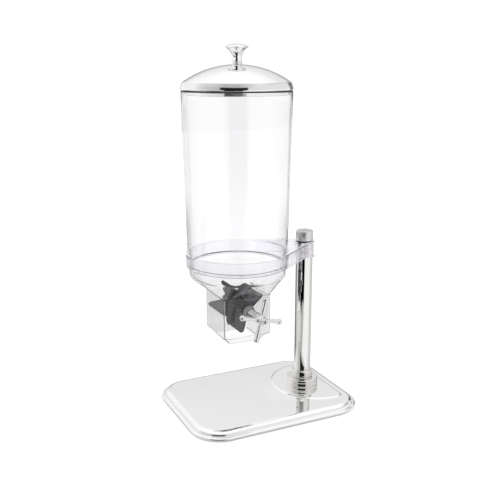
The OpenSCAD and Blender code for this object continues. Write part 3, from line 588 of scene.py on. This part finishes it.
def hopperGrid():
    # a stack of rings down the outside and back up the inside, from circles to rounded squares
    h = hopper
    w = h["wall"]
    flare = (h["mouthR"] - h["seatR"]) / (h["mouthZ"] - h["seatZ"])
    bend, turn = h["shoulderR"], h["shoulderTurn"]
    shoulder = arc(h["waistR"] - bend, h["waistZ"], bend, 0, -turn, 7)
    tubeLevels = (580, 500, 420, 340)
    outside = [(roundRing(h["mouthR"] - 1.2, h["mouthZ"]), 0),
               (roundRing(h["mouthR"], h["mouthZ"] - 0.2), 0.8)]
    for z in tubeLevels:
        outside.append((roundRing(h["seatR"] + flare * (z - h["seatZ"]), z), 0))
    outside += [(roundRing(h["seatR"], h["seatZ"]), 0.8), (roundRing(h["waistR"], h["seatZ"]), 0.8)]
    outside += [(roundRing(r, z), 0) for r, z in shoulder]
    outside += [
        (squareRing(h["half"], h["half"], h["cornerR"], h["chamberTop"]), 2.2),
        (squareRing(h["half"], h["half"], h["cornerR"], h["chamberBottom"]), 1.6),
        (squareRing(h["spoutX"], h["spoutY"], h["cornerR"], h["spoutTop"]), 1.0),
        (squareRing(h["spoutX"], h["spoutY"], h["cornerR"], h["spoutZ"]), 0.5)]
    inner = h["half"] - w
    r = h["cornerR"] - w
    inside = [
        (squareRing(h["spoutX"] - w, h["spoutY"] - w, r, h["spoutZ"]), 0.5),
        (squareRing(h["spoutX"] - w, h["spoutY"] - w, r, h["spoutTop"] + 0.6), 1.0),
        (squareRing(inner, inner, r, h["chamberBottom"] + 0.6), 1.6),
        (squareRing(inner, inner, r, h["chamberTop"] - 0.6), 2.2)]
    inside += [(roundRing(radius, z), 0)
               for radius, z in arc(h["waistR"] - bend, h["waistZ"], bend - w, -turn, 0, 6)]
    inside += [(roundRing(h["waistR"] - w, h["seatZ"] + w - 0.6), 0.8),
               (roundRing(h["seatR"] - w, h["seatZ"] + w), 0.8)]
    for z in reversed(tubeLevels):
        inside.append((roundRing(h["seatR"] - w + flare * (z - h["seatZ"]), z), 0))
    inside += [(roundRing(h["mouthR"] - w, h["mouthZ"] - 0.2), 0.8),
               (roundRing(h["mouthR"] - w + 1.2, h["mouthZ"]), 0)]
    rings, setbacks = zip(*(outside + inside))
    return moved(softStack(list(rings), list(setbacks)), hopperX)


makePiece("hopperWall", gridShell(hopperGrid(), closedRows=True), "hopper",
          finishes["clearWall"], ["hopper"], sharp=50)
print("hopper made")


vane = {
    "r": 44.6, "foot": 7.0, "half": 43.0, "cornerR": 10.0, "footCornerR": 0.6, "thick": 2.4,
    "border": 3.2, "raise": 0.5, "slope": 0.8, "round": 0.6, "ribFrom": 15.0, "ribTo": 31.2, "ribWidth": 2.6,
    "firstTurn": -104.0, "count": 5,
}


def vaneGrid():
    # loops drawn in from the vane's outline, up one face and down the other; the height of a point is half
    # the thickness, plus the border's rise near the outline and the rib's rise near the middle line
    v = vane
    half, reach, foot, slope = v["half"], v["r"], v["foot"], v["slope"]
    small = v["footCornerR"]

    def outline(inset):
        # a rectangle with round corners, small ones at the foot, drawn in by the inset
        r = max(v["cornerR"] - inset, small)
        x0, x1, y = foot + inset, reach - inset, half - inset
        up = arc(x1 - r, y - r, r, 0, 90, 24)
        left = arc(x0 + small, y - small, small, 90, 180, 8)
        top = np.linspace(up[-1], left[0], 22)[1:-1]
        side = np.linspace(left[-1], left[-1] * [1, -1], 48)[1:-1]
        right = np.linspace(up[0] * [1, -1], up[0], 48)[1:-1]
        return np.concatenate([up, top, left, side, (left * [1, -1])[::-1], (top * [1, -1])[::-1],
                               (up * [1, -1])[::-1], right])

    insets = np.concatenate([[0.0, 0.12, 0.4], np.linspace(0.8, v["border"] - 0.5, 4),
                             np.linspace(v["border"] - 0.2, v["border"] + 0.5, 4),
                             np.linspace(4.5, 17.0, 14)])
    loops = np.stack([outline(inset) for inset in insets])
    last = (reach - foot) / 2      # the last loop is the middle line
    lineEnd = np.clip(loops[-1][:, 1], last - half, half - last)
    line = np.stack([np.full(len(lineEnd), (foot + reach) / 2), lineEnd], axis=1)
    loops = np.concatenate([loops, [line * 0.5 + loops[-1] * 0.5, line]])
    depth = np.concatenate([insets, [18.0, last]])[:, None]
    edge = np.sqrt(np.clip(1 - (1 - np.clip(depth / v["round"], 0, 1)) ** 2, 0, 1))
    step = np.clip((v["border"] + slope / 2 - depth) / slope, 0, 1)
    border = step * step * (3 - 2 * step) * v["raise"]
    x, y = loops[..., 0], loops[..., 1]
    ribSide = np.clip((v["ribWidth"] / 2 + slope / 2 - np.abs(y)) / slope, 0, 1)
    ribEnd = np.clip((np.minimum(x - v["ribFrom"], v["ribTo"] - x) + slope / 2) / slope, 0, 1)
    rib = ribSide * ribEnd * v["raise"]
    height = (v["thick"] / 2 + border + 0 * x) * (0.25 + 0.75 * edge) + rib * (depth > v["border"])
    face = np.stack([x, y, height], axis=2)
    back = face[::-1] * [1, 1, -1]
    panel = (1 - step * step * (3 - 2 * step)) * (1 - ribSide * ribEnd)
    return np.concatenate([back, face]), np.concatenate([panel[::-1], panel])


def standVane(grid, turn):
    # the vane's own x runs out from the shaft, its y along the shaft and its z is its thickness
    x, y, z = grid[..., 0], grid[..., 1], grid[..., 2]
    return alongShaft(np.stack([x, z, y], axis=-1), turn)


vaneFace, vanePanel = vaneGrid()
for index in range(vane["count"]):
    turn = vane["firstTurn"] + index * 360 / vane["count"]
    piece = makePiece(f"vane{index + 1}", gridShell(standVane(vaneFace, turn)), "wheel",
                      finishes["vaneRubber"], [f"vane_{index + 1}"], sharp=60)
    panel = piece.data.attributes.new("panel", "FLOAT", "POINT")
    panel.data.foreach_set("value", vanePanel.ravel().astype(np.float32))
print("paddle wheel made")


handle = {
    "turn": -14.0, "stemFoot": 51.3, "cross": 99.0, "front": 113.0, "stemR": 7.5, "hubR": 9.5, "bossR": 6.5,
    "spokeR": 2.8, "reach": 38.0, "ballR": 5.4, "recessR": 3.6, "recess": 5.0, "screwR": 2.2,
    "socket": 3.4, "socketDepth": 16,
}


def handleShells():
    # the hub turned round the shaft's line, and four turned spokes laid across it
    g = handle
    hub = softProfile([
        (g["socket"], g["stemFoot"], 0), (g["stemR"] - 0.4, g["stemFoot"], 0.4),
        (g["stemR"], g["stemFoot"] + 0.6, 0.4), (g["stemR"] + 0.5, g["stemFoot"] + 14, 6),
        (g["hubR"], g["cross"] - 6, 4), (g["hubR"], g["cross"] + 3.4, 2.2),
        (g["bossR"] + 0.2, g["cross"] + 6.6, 1.8), (g["bossR"], g["front"] - 0.9, 0.7),
        (g["bossR"] - 0.9, g["front"], 0.5), (g["recessR"] + 0.5, g["front"], 0.3),
        (g["recessR"], g["front"] - 0.6, 0.3), (g["recessR"], g["front"] - g["recess"], 0.1),
        (g["screwR"], g["front"] - g["recess"], 0.1), (g["screwR"], g["stemFoot"] + g["socketDepth"], 0.1),
        (g["socket"], g["stemFoot"] + g["socketDepth"] - 0.1, 0)], 6)
    shells = [gridShell(alongShaft(lathe(hub, 128), g["turn"]), closedRows=True)]
    # a spoke: a root that flares into the hub, a shank that swells and a ball, as radius against distance
    ball = arc(0, g["reach"], g["ballR"], -35, 89, 26)
    spoke = chain([(0.0, 3.0)], softProfile([
        (5.2, 4.0, 0), (4.6, 8.0, 2.0), (g["spokeR"], 12.0, 3.0), (g["spokeR"] + 0.65, 20.0, 5.0),
        (*ball[0], 0.6), (*ball[1], 0)], 6), ball[2:], [(0.0, g["reach"] + g["ballR"])])
    for k in range(4):
        grid = lathe(spoke, 64)
        laid = np.stack([grid[..., 0], grid[..., 2], g["cross"] + grid[..., 1]], axis=-1)
        shells.append(gridShell(alongShaft(laid, g["turn"] + 90 * k)))
    return joinShells(shells)


makePiece("crossHandle", handleShells(), "wheel", finishes["handleChrome"],
          ["cross_handle"], sharp=40)
print("handle made")


lid = {
    "rimZ": 609.7, "rimR": 100.4, "rollR": 3.0, "rollTurn": 10.0, "sheet": 1.0,
    "creaseR": 97.3, "creaseZ": 624.2, "top": 655.0,
    "skirtR": 96.6, "skirtFoot": 602.2, "stepR": 97.4,
    "knobFootR": 9.7, "knobFoot": 654.9, "knobNeckR": 8.35, "knobR": 20.6, "knobTop": 690.0,
}


def domeProfile():
    # rolled rim, bulging flank, crease and the dome's long arc, then back along the inside
    d = lid
    rollX, rollZ = d["rimR"] - d["rollR"], d["rimZ"] + d["rollR"]
    sag = d["top"] - d["creaseZ"]
    radius = (d["creaseR"] ** 2 + sag ** 2) / (2 * sag)
    edge = math.degrees(math.acos(d["creaseR"] / radius))
    start = d["rollTurn"]
    roll = arc(rollX, rollZ, d["rollR"], -90, start, 14)
    chord = np.array([d["creaseR"], d["creaseZ"]]) - roll[-1]
    lean = math.degrees(math.atan2(-chord[0], chord[1]))
    flankR = np.linalg.norm(chord) / (2 * math.sin(math.radians(lean - start)))
    centre = roll[-1] - flankR * np.array([math.cos(math.radians(start)), math.sin(math.radians(start))])
    flankFrom, flankTo = start + 0.8, 2 * lean - start - 1.2
    flank = arc(*centre, flankR, flankFrom, flankTo, 14)
    dome = arc(0, d["top"] - radius, radius, edge + 0.8, 90, 60)
    crease = softProfile([(*flank[-1], 0), (d["creaseR"], d["creaseZ"], 1.0), (*dome[0], 0)], 6)
    inDome = arc(0, d["top"] - radius, radius - d["sheet"], 90, edge + 0.8, 40)
    inFlank = arc(*centre, flankR - d["sheet"], flankTo, flankFrom, 10)
    inRoll = arc(rollX, rollZ, d["rollR"] - d["sheet"], start, -90, 8)
    return chain(roll, flank, crease[1:-1], dome, inDome, inFlank, inRoll)


def knobProfile():
    # foot bead on the dome, slim neck, flaring underside and crowned top
    d = lid
    footZ, top, neckR, r = d["knobFoot"], d["knobTop"], d["knobNeckR"], d["knobR"]
    return chain([(0, 655.6)], softProfile([
        (1.0, 655.6, 0), (d["knobFootR"] - 2.6, 655.5, 0.3), (d["knobFootR"] - 1.6, footZ, 0)], 4),
        arc(d["knobFootR"] - 1.5, footZ + 2.5, 1.5, -84, 72, 16, 2.5),
        softProfile([(neckR + 0.25, 660.2, 0), (neckR, 661.2, 0.6), (neckR, 666.5, 3.0), (10.4, 673.6, 3.5),
                     (13.2, 678.6, 2.5), (17.0, 681.8, 2.0), (r - 0.4, 683.2, 0.4), (r, 683.7, 0.3),
                     (r - 0.15, 684.4, 0.3)], 7),
        arc(0, 683.9, 20.35, 6, 89, 26, top - 683.9), [(0, top)])


def skirtProfile():
    # a short tube under the rim, with a step that the rim's inner edge rests on
    d = lid
    r, step, rim, foot = d["skirtR"], d["stepR"], d["rimZ"], d["skirtFoot"]
    return softProfile([
        (r, foot + 0.5, 0.2), (r, rim - 0.4, 0.3), (step, rim, 0.1), (step, rim + 1, 0.1),
        (r - 1, rim + 1, 0.2), (r - 1, foot + 0.4, 0.2), (r - 0.5, foot, 0.2), (r - 0.02, foot + 0.4, 0)], 4)


turned = (("lidDome", domeProfile(), "lid_dome"), ("lidSkirt", skirtProfile(), "lid_skirt"))
for name, profile, node in turned:
    makePiece(name, gridShell(moved(lathe(profile, 256), hopperX), closedRows=True), "lid",
              finishes["lidSteel"], [node], sharp=40)
makePiece("lidKnob", gridShell(moved(lathe(knobProfile(), 128), hopperX)), "lid",
          finishes["lidSteel"], ["lid_knob"], sharp=40)
print("lid made")


keptNodes = {
    "feet": "footRubber", "lid_seal": "footRubber", "wheel_core": "corePlastic",
    "front_bush": "bushPlastic", "rear_bush": "bushPlastic", "thrust_washer": "bearingPlastic",
    "stiffening_plate": "hardware", "post_bolt": "hardware", "post_washer": "hardware",
    "foot_plug": "hardware", "top_plug": "hardware", "cap_stud": "hardware", "drive_shaft": "hardware",
    "handle_screw": "hardware", "shaft_clip": "hardware", "knob_screw": "hardware", "knob_washer": "hardware",
}
for node, finish in keptNodes.items():
    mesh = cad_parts[node].data
    mesh.materials.clear()
    mesh.materials.append(finishes[finish])
print("kept nodes finished:", len(keptNodes))


studio = {
    "floorSize": 12000, "floorTone": 0.8, "floorWhite": 1.22, "whiteShare": 0.74, "metalShade": 0.85,
    "skyStrength": 0.62,
    # what polished metal shows at each azimuth, 0 in front and 90 to the right: panels level with it, then
    # low and high ones; lowFrom and highFrom are the sines of the elevation between which each takes over
    "levelPanels": ((-180, 1.0), (-53, 0.95), (-50, 0.01), (-8, 0.01), (-5, 0.92), (45, 0.97),
                    (110, 0.95), (117, 0.3), (126, 0.3), (134, 0.9), (180, 1.0)),
    "lowPanels": ((-180, 0.92), (-126, 0.95), (-112, 0.8), (-90, 0.62), (-62, 0.5), (-58, 0.015),
                  (-3, 0.015), (0, 0.75), (45, 0.82), (108, 0.8), (114, 0.15), (127, 0.15), (133, 0.92),
                  (180, 0.92)),
    "highPanels": ((-180, 1.0), (-127, 1.0), (-118, 0.92), (-112, 0.8), (-98, 0.74), (-80, 0.69),
                   (-65, 0.61), (-52, 0.5), (-20, 0.49), (-12, 0.57), (0, 0.64), (10, 0.72), (22, 0.84),
                   (32, 0.85), (45, 0.77), (72, 0.68), (85, 0.45), (100, 0.4), (125, 0.9), (180, 1.0)),
    "lowFrom": (0.06, 0.2), "highFrom": (0.41, 0.46), "overhead": 1.08, "overheadFrom": (0.58, 0.8),
    # behind, where the sweep is 1, the horizon's tones hold against the sine of the elevation
    "sweep": ((-180, 0.0), (120, 0.0), (133, 1.0), (168, 1.0), (178, 0.0), (180, 0.0)),
    "horizon": ((0.0, 0.27), (0.1, 0.34), (0.2, 0.5), (0.38, 0.88), (0.56, 0.95), (0.71, 1.02)),
    # the table's tones, its dark parts, and the metres from the middle between which each sets in
    "table": ((-180, 0.22), (-150, 0.3), (-140, 0.72), (-62, 0.74), (-48, 0.5), (-18, 0.5), (-12, 0.9),
              (-4, 0.98), (55, 1.0), (66, 0.72), (110, 0.62), (135, 0.3), (180, 0.22)),
    "narrow": ((-180, 0.0), (-98, 0.0), (-92, 1.0), (-38, 1.0), (-34, 0.0), (180, 0.0)),
    "front": ((-180, 0.0), (-48, 0.0), (-44, 1.0), (-16, 1.0), (-12, 0.0), (180, 0.0)),
    "wide": ((-180, 0.0), (-112, 0.0), (-106, 1.0), (-34, 1.0), (-30, 0.0), (180, 0.0)),
    "tableFrom": (0.18, 0.215), "narrowFrom": (0.42, 0.55), "frontFrom": (0.56, 0.6), "wideFrom": (0.9, 1.3),
    "darkUntil": (1.7, 2.4),
}
lamps = {
    # where each stands, what it faces, its width and its power
    "keyLamp": ((-1.6, -1.4, 2.0), (-0.04, 0, 0.35), 1.4, 34),
    "fillLamp": ((1.7, -1.3, 1.4), (-0.04, 0, 0.35), 1.4, 16),
    "topLamp": ((0.1, 0.3, 2.4), (-0.04, 0, 0.3), 1.6, 22),
}
view = {"lens": 52.443, "sensor": 36.0, "near": 0.05, "far": 50, "at": (-0.60138, -1.20623, 0.64780),
        "tilt": 76.006, "turn": -25.857}


def ringTone(look, x, y, stops):
    # the azimuth, atan2 of x and minus y, runs over the ramp once round
    turn = look.maths("ARCTAN2", x, y * -1) / (2 * math.pi) + 0.5
    return look.ramp(turn, *[((azimuth + 180) / 360, tone) for azimuth, tone in stops])


def raysOf(look):
    # who is looking: the camera, a mirror or a clear wall, and whether polished metal came in between; a ray
    # that bounced only inside a clear wall has one to three transmissions behind it
    rays = look.node("ShaderNodeLightPath").socket.node.outputs
    passes = Wire(look, rays["Transmission Depth"])
    inWall = look.maths("GREATER_THAN", passes, 0.5) * look.maths("LESS_THAN", passes, 3.5)
    kinds = ("Camera", "Glossy", "Transmission")
    camera, mirror, wall = (Wire(look, rays[f"Is {kind} Ray"]) for kind in kinds)
    byMetal = look.maths("MINIMUM", Wire(look, rays["Glossy Depth"]), 1.0) * (1 - inWall)
    return look.maths("MINIMUM", camera + mirror + wall, 1.0), byMetal


def paleFloor():
    # a pale floor that shows as white and keeps a soft part of its shadow; past the tray, polished metal sees
    # the table's tones, which far away go over into those of the level panels
    look = Finish("paleFloor")
    grain = look.noise(look.place(), 60, 3)
    colour = look.ramp(grain, (0.3, studio["floorTone"] * 0.985), (0.7, studio["floorTone"]))
    lit = look.node("ShaderNodeBsdfDiffuse", None, {"Color": colour})
    seen, byMetal = raysOf(look)
    strength = studio["floorWhite"] - byMetal * studio["metalShade"]
    white = look.node("ShaderNodeEmission", None, {"Color": (1, 1, 1, 1), "Strength": strength})
    usual = look.node("ShaderNodeMixShader", None, {0: seen * studio["whiteShare"], 1: lit, 2: white})
    x, y, z = look.axes(look.place())
    away = look.node("ShaderNodeMath", {"operation": "SQRT"}, {0: x * x + y * y})

    def past(name):
        # from 0 to 1 between two distances from the middle
        near, far = studio[name]
        return look.ramp((away - near) / (far - near), (0.0, 0.0), (1.0, 1.0))

    tone = ringTone(look, x, y, studio["table"])
    near = 1 - past("darkUntil")
    for name in ("narrow", "front", "wide"):
        tone = tone * (1 - near * past(name + "From") * ringTone(look, x, y, studio[name]))
    tone = tone * near + (1 - near) * ringTone(look, x, y, studio["levelPanels"])
    glow = look.node("ShaderNodeEmission", None, {"Color": tone, "Strength": 1.0})
    mixed = look.node("ShaderNodeMixShader", None, {0: past("tableFrom") * byMetal, 1: usual, 2: glow})
    look.node("ShaderNodeOutputMaterial", None, {"Surface": mixed})
    return look.material


def lamp(name, place, target, size, power):
    # a round area lamp that metal and clear walls don't show
    data = bpy.data.lights.new(name, "AREA")
    data.shape, data.size, data.energy = "DISK", size, power
    made = bpy.data.objects.new(name, data)
    made.location = place
    made.rotation_euler = (Vector(target) - Vector(place)).to_track_quat("-Z", "Y").to_euler()
    made.visible_glossy = False
    made.visible_transmission = False
    bpy.context.collection.objects.link(made)


half = studio["floorSize"] / 2
floorMesh = bpy.data.meshes.new("floor")
corners = [(x * half * mm, y * half * mm, 0) for x, y in ((-1, -1), (1, -1), (1, 1), (-1, 1))]
floorMesh.from_pydata(corners, [], [(0, 1, 2, 3)])
floorMesh.materials.append(paleFloor())
floor = bpy.data.objects.new("floor", floorMesh)
bpy.context.collection.objects.link(floor)

world = bpy.data.worlds.new("studio")
bpy.context.scene.world = world
world.use_nodes = True
sky = Finish("studio", world.node_tree)
seen, byMetal = raysOf(sky)
x, y, z = sky.axes(sky.node("ShaderNodeTexCoord", out="Generated"))


def rise(name):
    # from 0 to 1 between two sines of the elevation, which is z of the ray's direction
    low, high = studio[name]
    return sky.ramp(z, (low, 0.0), (high, 1.0))


panels = ringTone(sky, x, y, studio["levelPanels"])
for ring in ("low", "high"):
    share = rise(ring + "From")
    panels = panels * (1 - share) + ringTone(sky, x, y, studio[ring + "Panels"]) * share
share = rise("overheadFrom")
panels = panels * (1 - share) + share * studio["overhead"]
panels = panels * (1 - ringTone(sky, x, y, studio["sweep"]) * (1 - sky.ramp(z, *studio["horizon"])))


def backdrop(tone, strength=1.0):
    # one tone all round
    return sky.node("ShaderNodeBackground", None, {"Color": tone, "Strength": strength})


plain = backdrop((1, 1, 1, 1), studio["skyStrength"])
white = backdrop((1, 1, 1, 1))
shown = sky.node("ShaderNodeMixShader", None, {0: byMetal, 1: white, 2: backdrop(panels)})
mixed = sky.node("ShaderNodeMixShader", None, {0: seen, 1: plain, 2: shown})
sky.node("ShaderNodeOutputWorld", None, {"Surface": mixed})

for name, (place, target, size, power) in lamps.items():
    lamp(name, place, target, size, power)

cameraData = bpy.data.cameras.new("camera")
cameraData.lens, cameraData.sensor_width = view["lens"], view["sensor"]
cameraData.clip_start, cameraData.clip_end = view["near"], view["far"]
camera = bpy.data.objects.new("camera", cameraData)
camera.location = view["at"]
camera.rotation_euler = Euler((math.radians(view["tilt"]), 0, math.radians(view["turn"])), "XYZ")
bpy.context.collection.objects.link(camera)
bpy.context.scene.camera = camera
bpy.context.scene.view_settings.view_transform = "Standard"
print("studio made")
